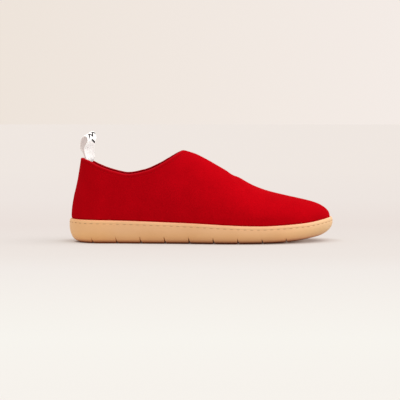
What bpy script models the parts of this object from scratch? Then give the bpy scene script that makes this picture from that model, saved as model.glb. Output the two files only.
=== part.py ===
"""Felt slip-on slipper on a rubber cup sole, a right shoe, size 40.

+X runs to the toe, +Y to the inner (big toe) side and +Z up. The origin is on the floor, under the
middle of the outsole. Shapes are worked out in millimetres and written as metres.

Every piece comes from one line, the feather line: the outline of the upper where it stands in the
cup of the sole. Going round it is the turn, from 0 at the heel over the outer side to half a circle
at the toe, and back over the inner side.
"""

from collections import namedtuple
from math import pi

import bpy
import numpy as np

MM = 0.001

# Driving sizes, in millimetres.
LENGTH = 280.0
BALL_WIDTH = 102.0
INSTEP_HEIGHT = 97.0
HEEL_HEIGHT = 89.3
FELT = 3.0
GAP = 0.3
CUP_WALL = 2.7

# Outsole.
RIM_RUN = 2.0
RIM_DROP = 3.8
RIM_STEPS = 3
TREAD_INSET = 0.8
SPRING_START = 55.0
SPRING_RATE = 0.00095
CUP_FLOOR_HEEL = 10.0
CUP_FLOOR_BALL = 8.0
CUP_FLOOR_TOE = 10.0
TOE_FLOOR_START = 90.0
GROOVES = 9
GROOVE_PITCH = 25.36
GROOVE_FIRST = -113.4
GROOVE_WIDTH = 2.4
GROOVE_DEPTH = 3.0
GROOVE_LEVEL_HALF = 20.0
GROOVE_RAMP = 20.0
GROOVE_LEAN = 1.9
GROOVE_BEYOND = 12.0

# Upper.
LAST_HALF = LENGTH / 2 - CUP_WALL - GAP
HEEL_ROUND_CENTRE = -104.0
TOE_ROUND_CENTRE = 46.0
TOE_FULLNESS = 2.2
WIDEST_HEIGHT = 25.4
BULGE = 1.4
BULGE_RISE = 1.6
COLLAR_SKEW = 0.04

# Insole.
INSOLE_THICKNESS = 4.0

# Pull loop: a tape folded over, standing in the back of the collar and turned on itself.
TAPE_WIDTH = 14.0
TAPE_THICKNESS = 1.0
LOOP_FOOT = 72.0
LOOP_SEWN_TOP = 76.0
LOOP_OPENS = 89.5
LOOP_TOP = 114.3
HEEL_INSIDE_ROUND = 29.0
LOOP_HALF_SPAN = 5.1
LOOP_TILT = np.radians(21.0)

# Mesh steps.
TURN_STEPS = 60
RISE_STEPS = 16
RISE_CROWDING = 1.5
EDGE_STEPS = 4
LOOP_LEG_STEPS = 11
LOOP_ARCH_STEPS = 10

# Plan of the feather line: place from the heel as a share of the length, half the width and the
# sideways shift of its middle as shares of the ball width. The two ends are rounded off.
Plan = namedtuple("Plan", "along half_width shift")
PLAN = (
    Plan(along=0.00, half_width=0.326, shift=0.000),
    Plan(along=0.15, half_width=0.330, shift=-0.002),
    Plan(along=0.36, half_width=0.345, shift=-0.036),
    Plan(along=0.66, half_width=0.468, shift=-0.001),
    Plan(along=0.85, half_width=0.468, shift=0.032),
    Plan(along=1.00, half_width=0.468, shift=0.095),
)

# Top line of the last over its middle, from the cone above the heel to the toe: place as a share of
# the length, height as a share of the instep height.
Ridge = namedtuple("Ridge", "along height")
RIDGE = (
    Ridge(along=0.000, height=2.120),
    Ridge(along=0.230, height=1.690),
    Ridge(along=0.355, height=1.250),
    Ridge(along=0.437, height=1.000),
    Ridge(along=0.450, height=0.990),
    Ridge(along=0.479, height=0.962),
    Ridge(along=0.536, height=0.878),
    Ridge(along=0.593, height=0.782),
    Ridge(along=0.650, height=0.689),
    Ridge(along=0.707, height=0.604),
    Ridge(along=0.764, height=0.548),
    Ridge(along=0.821, height=0.507),
    Ridge(along=0.879, height=0.469),
    Ridge(along=0.925, height=0.435),
    Ridge(along=0.957, height=0.396),
    Ridge(along=0.976, height=0.358),
    Ridge(along=0.987, height=0.320),
    Ridge(along=0.991, height=0.280),
)

# Back line of the heel: height as a share of the heel height, lean in millimetres to the front.
Back = namedtuple("Back", "height lean")
BACK_LINE = (
    Back(height=0.000, lean=0.0),
    Back(height=0.284, lean=0.0),
    Back(height=0.30, lean=-0.8),
    Back(height=0.33, lean=-0.95),
    Back(height=0.45, lean=0.0),
    Back(height=0.55, lean=1.75),
    Back(height=0.65, lean=4.0),
    Back(height=0.76, lean=5.95),
    Back(height=1.00, lean=9.3),
)

# Arch of the cross sections. A power of 2 is a round arch, and less is more peaked. The lean is how
# far the ridge stands to the inner side, as a share of the ball width.
Arch = namedtuple("Arch", "along power lean")
ARCH = (
    Arch(along=0.00, power=1.8, lean=0.00),
    Arch(along=0.20, power=1.8, lean=0.00),
    Arch(along=0.45, power=1.75, lean=0.04),
    Arch(along=0.70, power=1.75, lean=0.04),
    Arch(along=1.00, power=2.3, lean=0.04),
)

# Collar edge, the same on both sides: place as a share of the length, height as a share of the
# heel height.
Collar = namedtuple("Collar", "along height")
COLLAR = (
    Collar(along=0.043, height=1.000),
    Collar(along=0.065, height=0.982),
    Collar(along=0.111, height=0.915),
    Collar(along=0.171, height=0.848),
    Collar(along=0.222, height=0.817),
    Collar(along=0.286, height=0.853),
    Collar(along=0.343, height=0.931),
    Collar(along=0.380, height=1.000),
    Collar(along=0.410, height=1.055),
    Collar(along=0.430, height=1.083),
    Collar(along=0.470, height=1.130),
)

# Side of the outsole, in millimetres: height of its rim above the floor, how far in and up the
# rounding of its lower edge reaches, the step up from the tread to that edge, and how high the flex
# grooves are there.
Side = namedtuple("Side", "along rim run rise step groove")
SIDE = (
    Side(along=0.00, rim=25.1, run=9.2, rise=18.0, step=1.3, groove=9.4),
    Side(along=0.20, rim=24.3, run=10.4, rise=17.5, step=1.3, groove=9.2),
    Side(along=0.45, rim=22.0, run=10.4, rise=15.5, step=1.3, groove=8.8),
    Side(along=0.72, rim=19.1, run=13.5, rise=13.2, step=1.3, groove=6.6),
    Side(along=0.88, rim=21.3, run=18.5, rise=12.8, step=0.9, groove=5.6),
    Side(along=1.00, rim=26.6, run=20.5, rise=13.6, step=0.5, groove=5.6),
)

# Upright axis of the pull loop: height, place in x once it has left the heel, and its turn in degrees
# from lying flat across the heel, in which the outer leg comes forward.
Axis = namedtuple("Axis", "height x turn")
LOOP_AXIS = (
    Axis(height=76.0, x=-118.5, turn=0.0),
    Axis(height=82.5, x=-118.5, turn=18.0),
    Axis(height=89.0, x=-118.6, turn=36.0),
    Axis(height=94.5, x=-119.8, turn=43.0),
    Axis(height=99.8, x=-121.0, turn=48.0),
    Axis(height=104.0, x=-120.5, turn=46.0),
    Axis(height=109.0, x=-119.8, turn=40.0),
    Axis(height=114.3, x=-119.5, turn=37.0),
)


def column(rows, name):
    """One named column of a table."""
    return np.array([getattr(row, name) for row in rows], float)


def smooth_step(at):
    """Rises from 0 to 1 with level ends."""
    at = np.clip(at, 0.0, 1.0)
    return at * at * (3.0 - 2.0 * at)


def curve_through(places, values, at):
    """Smooth curve through a column that doesn't swing past its rows: cubic pieces whose slope at a
    row is the harmonic mean of the slopes on both sides, or level at a turning point."""
    gaps = np.diff(places)
    rises = np.diff(values) / gaps
    before, after = rises[:-1], rises[1:]
    turning = before * after <= 0
    total = np.where(turning, 1.0, before + after)
    inner = np.where(turning, 0.0, 2.0 * before * after / total)
    slopes = np.concatenate([rises[:1], inner, rises[-1:]])
    at = np.clip(at, places[0], places[-1])
    cell = np.clip(np.searchsorted(places, at, side="right") - 1, 0, len(gaps) - 1)
    u = (at - places[cell]) / gaps[cell]
    start = (1 + 2 * u) * (1 - u) ** 2 * values[cell] + u * (1 - u) ** 2 * slopes[cell] * gaps[cell]
    end = u * u * (3 - 2 * u) * values[cell + 1] - u * u * (1 - u) * slopes[cell + 1] * gaps[cell]
    return start + end


def along_length(rows, name, x):
    """A column of a table at x, whose rows are placed by their share of the length."""
    return curve_through(column(rows, "along"), column(rows, name), x / LENGTH + 0.5)


def ridge_line(steps_between=24):
    """The last's top line as two dense lists, x and height, from the heel cone down to the toe tip.
    Both are smooth curves of the place in the table, so the line may stand upright at the toe."""
    rows = np.arange(len(RIDGE), dtype=float)
    place = np.linspace(0.0, rows[-1], int(rows[-1]) * steps_between + 1)
    x = (curve_through(rows, column(RIDGE, "along"), place) - 0.5) * LENGTH
    height = curve_through(rows, column(RIDGE, "height"), place) * INSTEP_HEIGHT
    return x, height


RIDGE_X, RIDGE_Z = ridge_line()


def rim_height(x):
    """Top of the cup's wall above the floor."""
    return along_length(SIDE, "rim", x)


def bottom_height(x):
    """Underside of the outsole: flat on the floor, then a parabola up to the toe."""
    return SPRING_RATE * np.maximum(x - SPRING_START, 0.0) ** 2


def cup_floor_height(x):
    """Floor of the cup: a little thicker rubber at the heel and the toe, and the toe spring on top."""
    heel = 1.0 - smooth_step((x + LENGTH / 4) / (LENGTH / 3))
    toe = smooth_step((x - TOE_FLOOR_START) / (LENGTH / 2 - TOE_FLOOR_START))
    thickness = CUP_FLOOR_BALL
    thickness += (CUP_FLOOR_HEEL - CUP_FLOOR_BALL) * heel
    thickness += (CUP_FLOOR_TOE - CUP_FLOOR_BALL) * toe
    return thickness + bottom_height(x)


def section_ends(height):
    """Heel end and toe end, in x, of the upper's level section at each height."""
    lean = curve_through(column(BACK_LINE, "height"), column(BACK_LINE, "lean"), height / HEEL_HEIGHT)
    toe = np.interp(height, RIDGE_Z[::-1], RIDGE_X[::-1])
    return -LAST_HALF + lean, toe


def half_width(x, height, heel_end):
    """Half the upper's width: the plan's width and the bulge over the rim, times an ellipse at the
    heel, a fuller one at the toe, and the arch of the cross section up to the ridge."""
    bulge = BULGE * smooth_step((height - rim_height(x)) / BULGE_RISE)
    plan = BALL_WIDTH * along_length(PLAN, "half_width", x) + bulge
    heel = np.clip((HEEL_ROUND_CENTRE - x) / (HEEL_ROUND_CENTRE - heel_end), 0.0, 1.0)
    toe = np.clip((x - TOE_ROUND_CENTRE) / (RIDGE_X[-1] - TOE_ROUND_CENTRE), 0.0, 1.0)
    ridge = np.interp(x, RIDGE_X, RIDGE_Z)
    reach = np.maximum(ridge - WIDEST_HEIGHT, 1e-6)
    up = np.clip((height - WIDEST_HEIGHT) / reach, 0.0, 1.0)
    arch = 1.0 - up ** along_length(ARCH, "power", x)
    return plan * np.sqrt((1.0 - heel**2) * (1.0 - toe**TOE_FULLNESS) * arch)


def upper_outside(turn, height):
    """Points on the outside of the felt. A level section runs from its heel end to its toe end as
    the cosine of the turn, so its points crowd at the two ends."""
    heel_end, toe_end = section_ends(height)
    x = heel_end + (toe_end - heel_end) * (1.0 - np.cos(turn)) / 2.0
    side = np.where(np.sin(turn) >= 0.0, -1.0, 1.0)
    up = smooth_step((height - WIDEST_HEIGHT) / (INSTEP_HEIGHT - WIDEST_HEIGHT))
    middle = BALL_WIDTH * (along_length(PLAN, "shift", x) + along_length(ARCH, "lean", x) * up)
    return np.stack([x, middle + side * half_width(x, height, heel_end), height], axis=-1)


def collar_height(turn):
    """Height at which each turn's line up the upper meets the collar edge, found by halving. The
    collar is turned a little, so that its inner side is lowest further back than its outer side."""
    low = np.full_like(turn, WIDEST_HEIGHT)
    high = np.full_like(turn, INSTEP_HEIGHT + FELT)
    for _ in range(40):
        middle = (low + high) / 2.0
        point = upper_outside(turn, middle)
        place = point[..., 0] + COLLAR_SKEW * point[..., 1]
        under = middle < along_length(COLLAR, "height", place) * HEEL_HEIGHT
        low = np.where(under, middle, low)
        high = np.where(under, high, middle)
    return low


def feather_line(turn):
    """The upper's outline where it stands in the cup, as x and y."""
    return upper_outside(turn, np.zeros_like(turn))[..., :2]


def grown(outline, outward):
    """A closed outline moved outward, or inward below 0, square to its own run."""
    run = np.roll(outline, -1, axis=0) - np.roll(outline, 1, axis=0)
    run /= np.linalg.norm(run, axis=1, keepdims=True)
    return outline + np.stack([run[:, 1], -run[:, 0]], axis=1) * np.reshape(outward, (-1, 1))


def turns():
    """The turns that every ring of points shares, so that facing walls have parallel faces."""
    return np.arange(TURN_STEPS) * 2.0 * pi / TURN_STEPS


def ring(outline, height):
    """A ring of 3D points from an outline and its heights."""
    return np.column_stack([outline, height])


def skin(rows, across, closed=True):
    """Four-sided faces between neighbouring rings, numbered ring by ring."""
    last = across if closed else across - 1
    return [
        (r * across + k, r * across + (k + 1) % across,
         (r + 1) * across + (k + 1) % across, (r + 1) * across + k)
        for r in range(rows - 1)
        for k in range(last)
    ]


def ladder(first, across, upward):
    """Faces that fill a ring from side to side, each rung between two turns that mirror."""
    half = across // 2
    faces = [(first, first + 1, first + across - 1)]
    faces += [(first + k, first + k + 1, first + across - k - 1, first + across - k) for k in range(1, half - 1)]
    faces += [(first + half - 1, first + half, first + half + 1)]
    return faces if upward else [face[::-1] for face in faces]


def material(name, colour, roughness):
    """A plain finish in the piece's own colour."""
    made = bpy.data.materials.new(name)
    made.use_nodes = True
    shader = made.node_tree.nodes["Principled BSDF"]
    shader.inputs["Base Color"].default_value = (*colour, 1.0)
    shader.inputs["Roughness"].default_value = roughness
    shader.inputs["Metallic"].default_value = 0.0
    return made


def piece(name, points, faces, finish):
    """An object from points in millimetres."""
    mesh = bpy.data.meshes.new(name)
    mesh.from_pydata((np.asarray(points) * MM).tolist(), [], faces)
    mesh.update()
    mesh.shade_smooth()
    mesh.set_sharp_from_angle(angle=np.radians(40.0))
    mesh.materials.append(finish)
    made = bpy.data.objects.new(name, mesh)
    bpy.context.scene.collection.objects.link(made)
    return made


def groove_cutter(index):
    """A long wedge across the outsole, its edge upwards. It is shallow under the foot and climbs to
    both sides, where it leans back, so that it shows as a slanting notch in the rounded lower edge."""
    x = GROOVE_FIRST + GROOVE_PITCH * index
    middle = BALL_WIDTH * along_length(PLAN, "shift", x)
    half = half_width(x, 0.0, -LAST_HALF) + GAP + CUP_WALL
    run = along_length(SIDE, "run", x)
    side = np.array([half - run, half - run / 2.0, half, half + GROOVE_BEYOND])
    y = np.concatenate([middle - side[::-1], [-GROOVE_LEVEL_HALF, GROOVE_LEVEL_HALF], middle + side])
    lean = GROOVE_LEAN * np.clip((np.abs(y - middle) - half + run) / run, 0.0, 1.0)
    climb = smooth_step((np.abs(y) - GROOVE_LEVEL_HALF) / GROOVE_RAMP)
    depth = GROOVE_DEPTH + (along_length(SIDE, "groove", x) - GROOVE_DEPTH) * climb
    flare = GROOVE_WIDTH / 2.0 * (depth + GROOVE_DEPTH) / depth
    ground = np.full_like(y, bottom_height(x))
    left = np.column_stack([x - lean - flare, y, ground - GROOVE_DEPTH])
    right = np.column_stack([x - lean + flare, y, ground - GROOVE_DEPTH])
    top = np.column_stack([x - lean, y, ground + depth])
    points = np.stack([left, right, top], axis=1).reshape(-1, 3)
    ends = [(0, 1, 2), (len(points) - 1, len(points) - 2, len(points) - 3)]
    faces = [face[::-1] for face in skin(len(y), 3)] + ends
    made = piece(f"groove_cutter_{index + 1}", points, faces, finish=None)
    made.hide_render = True
    made.display_type = "WIRE"
    return made


def make_sole():
    """Rubber cup: a flat tread with toe spring, a step up to a rounded lower edge, a wall up to the
    rounded rim, and the floor inside. Nine wedges are cut across it."""
    feather = feather_line(turns())
    outer = GAP + CUP_WALL
    outside = grown(feather, outer)
    run = along_length(SIDE, "run", outside[:, 0])
    rise = along_length(SIDE, "rise", outside[:, 0])
    step_up = along_length(SIDE, "step", outside[:, 0])
    tread = grown(feather, outer - run - TREAD_INSET)
    rings = [ring(tread, bottom_height(tread[:, 0]))]
    for step in range(EDGE_STEPS + 1):
        angle = pi / 2 * step / EDGE_STEPS
        outline = grown(feather, outer - run * (1.0 - np.sin(angle)))
        lift = step_up + (rise - step_up) * (1.0 - np.cos(angle))
        rings.append(ring(outline, bottom_height(outline[:, 0]) + lift))
    rim = rim_height(feather[:, 0])
    for step in range(RIM_STEPS + 1):
        angle = pi / 2 * step / RIM_STEPS
        outline = grown(feather, outer - RIM_RUN * (1.0 - np.cos(angle)))
        rings.append(ring(outline, rim - RIM_DROP * (1.0 - np.sin(angle))))
    inside = grown(feather, GAP)
    rings.append(ring(inside, rim))
    rings.append(ring(inside, cup_floor_height(inside[:, 0])))
    faces = skin(len(rings), TURN_STEPS)
    faces += ladder(0, TURN_STEPS, upward=False)
    faces += ladder((len(rings) - 1) * TURN_STEPS, TURN_STEPS, upward=True)
    sole = piece("sole", np.vstack(rings), faces, material("natural_rubber", (0.70, 0.40, 0.18), 0.5))
    for index in range(GROOVES):
        cut = sole.modifiers.new(f"flex_groove_{index + 1}", "BOOLEAN")
        cut.operation = "DIFFERENCE"
        cut.object = groove_cutter(index)
    return sole


def upper_rows():
    """Heights of the upper's rings: the cup floor, the rim, then steps of the line up to the collar
    that are even in length, but closer over the rim. Rows run upwards, columns round the turns."""
    turn = turns()
    feather = feather_line(turn)
    foot = cup_floor_height(feather[:, 0]) + GAP
    rim = rim_height(feather[:, 0])
    top = collar_height(turn)
    share = np.linspace(0.0, 1.0, 241)[:, None]
    dense = rim + (top - rim) * share
    line = upper_outside(turn + 0.0 * dense, dense)
    run = np.linalg.norm(np.diff(line, axis=0), axis=2)
    run = np.vstack([np.zeros(TURN_STEPS), np.cumsum(run, axis=0)])
    wanted = (np.arange(RISE_STEPS + 1) / RISE_STEPS) ** RISE_CROWDING
    columns = [np.interp(wanted * run[-1, k], run[:, k], dense[:, k]) for k in range(TURN_STEPS)]
    return np.vstack([foot, np.column_stack(columns)])


def make_upper():
    """One felt shell. Its inside is its outside moved in by the felt's thickness, square to the
    surface, and it is open at the collar and underneath."""
    heights = upper_rows()
    outside = upper_outside(turns() + 0.0 * heights, heights)
    round_run = np.roll(outside, -1, axis=1) - np.roll(outside, 1, axis=1)
    up_run = np.gradient(outside, axis=0)
    up_run[0] = (0.0, 0.0, 1.0)
    square = np.cross(round_run, up_run)
    square /= np.linalg.norm(square, axis=2, keepdims=True)
    inside = outside - FELT * square
    rings = np.concatenate([outside, inside[::-1]])
    rows = len(rings)
    faces = skin(rows, TURN_STEPS)
    join = (rows - 1) * TURN_STEPS
    faces += [
        (join + k, join + (k + 1) % TURN_STEPS, (k + 1) % TURN_STEPS, k) for k in range(TURN_STEPS)
    ]
    return piece("upper", rings.reshape(-1, 3), faces, material("wool_felt", (0.55, 0.01, 0.015), 0.95))


def make_insole():
    """Felt footbed on the cup floor, inside the upper's wall."""
    outline = grown(feather_line(turns()), -FELT - GAP)
    floor = cup_floor_height(outline[:, 0]) + GAP
    rings = [ring(outline, floor), ring(outline, floor + INSOLE_THICKNESS)]
    faces = skin(2, TURN_STEPS)
    faces += ladder(0, TURN_STEPS, upward=False) + ladder(TURN_STEPS, TURN_STEPS, upward=True)
    return piece("insole", np.vstack(rings), faces, material("footbed_felt", (0.40, 0.36, 0.31), 0.95))


def loop_line():
    """Middle line of the tape as its spread to either side of the loop's axis and its height: up one
    leg, over a half ellipse and down the other leg."""
    shoulder = LOOP_TOP - 1.2 * LOOP_HALF_SPAN
    leg = np.linspace(LOOP_FOOT, shoulder, LOOP_LEG_STEPS + 1)
    closed = (TAPE_THICKNESS + GAP) / 2.0
    open_share = smooth_step((leg - LOOP_OPENS) / (shoulder - LOOP_OPENS))
    spread = closed + (LOOP_HALF_SPAN - closed) * open_share
    arch = np.linspace(0.0, pi, LOOP_ARCH_STEPS + 1)[1:-1]
    over = LOOP_HALF_SPAN * np.cos(arch)
    rise = shoulder + (LOOP_TOP - shoulder) * np.sin(arch)
    return np.concatenate([spread, over, -spread[::-1]]), np.concatenate([leg, rise, leg[::-1]])


def make_pull_loop():
    """Tape with a flat section carried along the loop's line. It lies flat on the heel's inside where
    it is sewn, then turns about its upright axis, leaves the heel and tips sideways as it rises."""
    spread, height = loop_line()
    away = smooth_step((height - LOOP_SEWN_TOP) / (HEEL_HEIGHT - LOOP_SEWN_TOP))
    heights = column(LOOP_AXIS, "height")
    turned = np.radians(curve_through(heights, column(LOOP_AXIS, "turn"), height))
    tilted = LOOP_TILT * smooth_step((height - HEEL_HEIGHT) / (LOOP_TOP - HEEL_HEIGHT))
    heel_end, _ = section_ends(np.minimum(height, HEEL_HEIGHT))
    hollow = TAPE_WIDTH**2 / (8.0 * HEEL_INSIDE_ROUND)
    seat = heel_end + FELT + GAP + hollow + TAPE_THICKNESS + GAP / 2.0
    axis_x = seat + (curve_through(heights, column(LOOP_AXIS, "x"), height) - seat) * away
    apart = np.column_stack([np.cos(turned), -np.sin(turned), np.zeros_like(turned)])
    middle = np.column_stack([axis_x, np.zeros_like(axis_x), height]) + apart * spread[:, None]
    level = np.column_stack([np.sin(turned), np.cos(turned), np.zeros_like(turned)])
    wide = level * np.cos(tilted)[:, None] + np.array([0.0, 0.0, 1.0]) * np.sin(tilted)[:, None]
    run = np.gradient(middle, axis=0)
    face = np.cross(run, wide)
    face /= np.linalg.norm(face, axis=1, keepdims=True)
    across = wide * TAPE_WIDTH / 2.0
    through = face * TAPE_THICKNESS / 2.0
    corners = [middle - across - through, middle + across - through,
               middle + across + through, middle - across + through]
    points = np.stack(corners, axis=1).reshape(-1, 3)
    stations = len(middle)
    last = (stations - 1) * 4
    faces = skin(stations, 4) + [(3, 2, 1, 0), (last, last + 1, last + 2, last + 3)]
    return piece("pull_loop", points, faces, material("cotton_tape", (0.85, 0.84, 0.81), 0.85))


def main():
    for old in list(bpy.data.objects):
        bpy.data.objects.remove(old, do_unlink=True)
    make_sole()
    make_upper()
    make_insole()
    make_pull_loop()


main()
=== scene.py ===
import bmesh
import bpy
import numpy as np
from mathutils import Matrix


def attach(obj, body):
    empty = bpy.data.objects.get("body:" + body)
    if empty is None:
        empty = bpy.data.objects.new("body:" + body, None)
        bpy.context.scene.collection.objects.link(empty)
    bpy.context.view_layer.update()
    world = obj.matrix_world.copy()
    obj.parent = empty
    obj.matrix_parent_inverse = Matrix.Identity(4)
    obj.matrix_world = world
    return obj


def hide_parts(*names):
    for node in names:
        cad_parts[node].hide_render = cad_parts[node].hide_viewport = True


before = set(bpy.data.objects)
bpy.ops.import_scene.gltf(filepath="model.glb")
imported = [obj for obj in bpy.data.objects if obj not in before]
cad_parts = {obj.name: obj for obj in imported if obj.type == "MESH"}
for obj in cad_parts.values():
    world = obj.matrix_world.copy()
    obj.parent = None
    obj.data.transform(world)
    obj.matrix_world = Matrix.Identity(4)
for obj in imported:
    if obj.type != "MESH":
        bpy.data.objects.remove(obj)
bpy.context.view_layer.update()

print("frame loaded:", sorted(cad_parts))

mm = 0.001  # shapes are worked out in millimetres

last = {
    "length": 280.0,
    "ballWidth": 102.0,
    "instepHeight": 97.0,
    "heelHeight": 89.3,
    "feltThick": 3.0,
    "gap": 0.3,  # between neighbouring pieces
    "cupWall": 2.7,
    "heelRoundCentre": -104.0,  # behind this X the plan rounds off to the heel
    "toeRoundCentre": 46.0,  # in front of this X it rounds off to the toe
    "toeFullness": 2.2,  # 2 is an ellipse
    "widestHeight": 25.4,
    "bulge": 1.4,  # of the felt above the rim
    "bulgeRise": 1.6,
    "collarSkew": 0.04,  # share of Y by which its curve lies further back
    "springStart": 55.0,  # X from which the toe rises off the floor
    "springRate": 0.00095,
    "floorHeel": 10.0,  # how thick the cup is under the foot
    "floorBall": 8.0,
    "floorToe": 10.0,
    "toeFloorStart": 90.0,
    "toeFloorRun": 50.0,
}
planTable = {  # shares of the length, then of the ball width
    "along": [0.00, 0.15, 0.36, 0.66, 0.85, 1.00],
    "halfWidth": [0.326, 0.330, 0.345, 0.468, 0.468, 0.468],
    "shift": [0.000, -0.002, -0.036, -0.001, 0.032, 0.095],
}
ridgeTable = {  # share of the length, share of the instep height
    "along": [0.000, 0.230, 0.355, 0.437, 0.450, 0.479, 0.536, 0.593, 0.650, 0.707, 0.764, 0.821,
              0.879, 0.925, 0.957, 0.976, 0.987, 0.991],
    "height": [2.120, 1.690, 1.250, 1.000, 0.990, 0.962, 0.878, 0.782, 0.689, 0.604, 0.548, 0.507,
               0.469, 0.435, 0.396, 0.358, 0.320, 0.280],
}
backTable = {  # share of the heel height, lean forward in millimetres
    "height": [0.000, 0.284, 0.30, 0.33, 0.45, 0.55, 0.65, 0.76, 1.00],
    "lean": [0.0, 0.0, -0.8, -0.95, 0.0, 1.75, 4.0, 5.95, 9.3],
}
archTable = {  # how round the cross sections are, and how far their top leans to the inner side
    "along": [0.00, 0.20, 0.45, 0.70, 1.00],
    "power": [1.8, 1.8, 1.75, 1.75, 2.3],
    "lean": [0.00, 0.00, 0.04, 0.04, 0.04],
}
collarTable = {  # share of the length, share of the heel height
    "along": [0.043, 0.065, 0.111, 0.171, 0.222, 0.286, 0.343, 0.380, 0.410, 0.430, 0.470],
    "height": [1.000, 0.982, 0.915, 0.848, 0.817, 0.853, 0.931, 1.000, 1.055, 1.083, 1.130],
}
sideTable = {  # side of the outsole in millimetres
    "along": [0.00, 0.20, 0.45, 0.72, 0.88, 1.00],
    "rim": [25.1, 24.3, 22.0, 19.1, 21.3, 26.6],
    "run": [9.2, 10.4, 10.4, 13.5, 18.5, 20.5],
    "rise": [18.0, 17.5, 15.5, 13.2, 12.8, 13.6],
    "step": [1.3, 1.3, 1.3, 1.3, 0.9, 0.5],
    "groove": [9.4, 9.2, 8.8, 6.6, 5.6, 5.6],
}
lastHalf = last["length"] / 2 - last["cupWall"] - last["gap"]


# Rises from 0 to 1 with level ends.
def smoothStep(at):
    at = np.clip(at, 0.0, 1.0)
    return at * at * (3.0 - 2.0 * at)


# A bump of height 1 at 0 that falls to 0 at one width to either side.
def hump(at):
    return smoothStep(1.0 - np.abs(at))


# Cubic pieces through a column, whose slope at a row is the harmonic mean of both sides' slopes.
def curveThrough(places, values, at):
    places, values = np.array(places, float), np.array(values, float)
    gaps = np.diff(places)
    rises = np.diff(values) / gaps
    before, after = rises[:-1], rises[1:]
    turning = before * after <= 0
    total = np.where(turning, 1.0, before + after)
    inner = np.where(turning, 0.0, 2.0 * before * after / total)
    slopes = np.concatenate([rises[:1], inner, rises[-1:]])
    at = np.clip(at, places[0], places[-1])
    cell = np.clip(np.searchsorted(places, at, side="right") - 1, 0, len(gaps) - 1)
    u = (at - places[cell]) / gaps[cell]
    start = (1 + 2 * u) * (1 - u) ** 2 * values[cell] + u * (1 - u) ** 2 * slopes[cell] * gaps[cell]
    end = u * u * (3 - 2 * u) * values[cell + 1] - u * u * (1 - u) * slopes[cell + 1] * gaps[cell]
    return start + end


# A table's column at x.
def alongLength(table, name, x):
    return curveThrough(table["along"], table[name], x / last["length"] + 0.5)


# The last's top line, dense: x and height are both smooth curves of the row number.
def ridgeLine(stepsBetween=24):
    rows = np.arange(len(ridgeTable["along"]), dtype=float)
    place = np.linspace(0.0, rows[-1], int(rows[-1]) * stepsBetween + 1)
    x = (curveThrough(rows, ridgeTable["along"], place) - 0.5) * last["length"]
    return x, curveThrough(rows, ridgeTable["height"], place) * last["instepHeight"]


ridgeX, ridgeZ = ridgeLine()


# Height of the sole's rim at x.
def rimHeight(x):
    return alongLength(sideTable, "rim", x)


# Flat, then a parabola up to the toe.
def bottomHeight(x):
    return last["springRate"] * np.maximum(x - last["springStart"], 0.0) ** 2


# Height of the floor inside the cup: thickest under the heel and the toe, on top of the toe's rise.
def cupFloorHeight(x):
    heel = last["floorHeel"] - last["floorBall"]
    toe = last["floorToe"] - last["floorBall"]
    atHeel = 1.0 - smoothStep((x + last["length"] / 4) / (last["length"] / 3))
    atToe = smoothStep((x - last["toeFloorStart"]) / last["toeFloorRun"])
    return last["floorBall"] + heel * atHeel + toe * atToe + bottomHeight(x)


# Heel end and toe end of the level section at a height.
def sectionEnds(height):
    lean = curveThrough(backTable["height"], backTable["lean"], height / last["heelHeight"])
    return -lastHalf + lean, np.interp(height, ridgeZ[::-1], ridgeX[::-1])


# Half the width: the plan and the bulge over the rim, times the heel's ellipse, the toe's fuller
# one and the arch of the cross section up to the ridge.
def halfWidth(x, height, heelEnd):
    bulge = last["bulge"] * smoothStep((height - rimHeight(x)) / last["bulgeRise"])
    plan = last["ballWidth"] * alongLength(planTable, "halfWidth", x) + bulge
    heel = np.clip((last["heelRoundCentre"] - x) / (last["heelRoundCentre"] - heelEnd), 0.0, 1.0)
    toe = np.clip((x - last["toeRoundCentre"]) / (ridgeX[-1] - last["toeRoundCentre"]), 0.0, 1.0)
    reach = np.maximum(np.interp(x, ridgeX, ridgeZ) - last["widestHeight"], 1e-6)
    up = np.clip((height - last["widestHeight"]) / reach, 0.0, 1.0)
    arch = 1.0 - up ** alongLength(archTable, "power", x)
    return plan * np.sqrt((1.0 - heel**2) * (1.0 - toe ** last["toeFullness"]) * arch)


# Outside of the felt: round a level section as the cosine of the turn, 0 at the heel, over the
# outer side to half a circle at the toe, and back over the inner side.
def upperOutside(turn, height):
    heelEnd, toeEnd = sectionEnds(height)
    x = heelEnd + (toeEnd - heelEnd) * (1.0 - np.cos(turn)) / 2.0
    side = np.where(np.sin(turn) >= 0.0, -1.0, 1.0)
    up = smoothStep((height - last["widestHeight"]) / (last["instepHeight"] - last["widestHeight"]))
    shift = alongLength(planTable, "shift", x) + alongLength(archTable, "lean", x) * up
    y = last["ballWidth"] * shift + side * halfWidth(x, height, heelEnd)
    return np.stack([x, y, height], axis=-1)


# Height where each turn's line meets the collar edge, by halving.
def collarHeight(turn):
    low = np.full_like(turn, last["widestHeight"])
    high = np.full_like(turn, last["instepHeight"] + last["feltThick"])
    for _ in range(40):
        middle = (low + high) / 2.0
        point = upperOutside(turn, middle)
        place = point[..., 0] + last["collarSkew"] * point[..., 1]
        under = middle < alongLength(collarTable, "height", place) * last["heelHeight"]
        low = np.where(under, middle, low)
        high = np.where(under, high, middle)
    return low


# Turns spaced evenly round a circle, from 0.
def evenTurns(count):
    return np.arange(count) * 2.0 * np.pi / count


# The upper's outline where it stands in the cup.
def featherLine(turn):
    return upperOutside(turn, np.zeros_like(turn))[..., :2]


# Directions made 1 long.
def unit(directions):
    return directions / np.linalg.norm(directions, axis=-1, keepdims=True)


# Distances run from the start of a line of points, or of each column of a grid.
def runAlong(points):
    steps = np.linalg.norm(np.diff(points, axis=0), axis=-1)
    return np.concatenate([np.zeros_like(steps[:1]), np.cumsum(steps, axis=0)])


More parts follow.
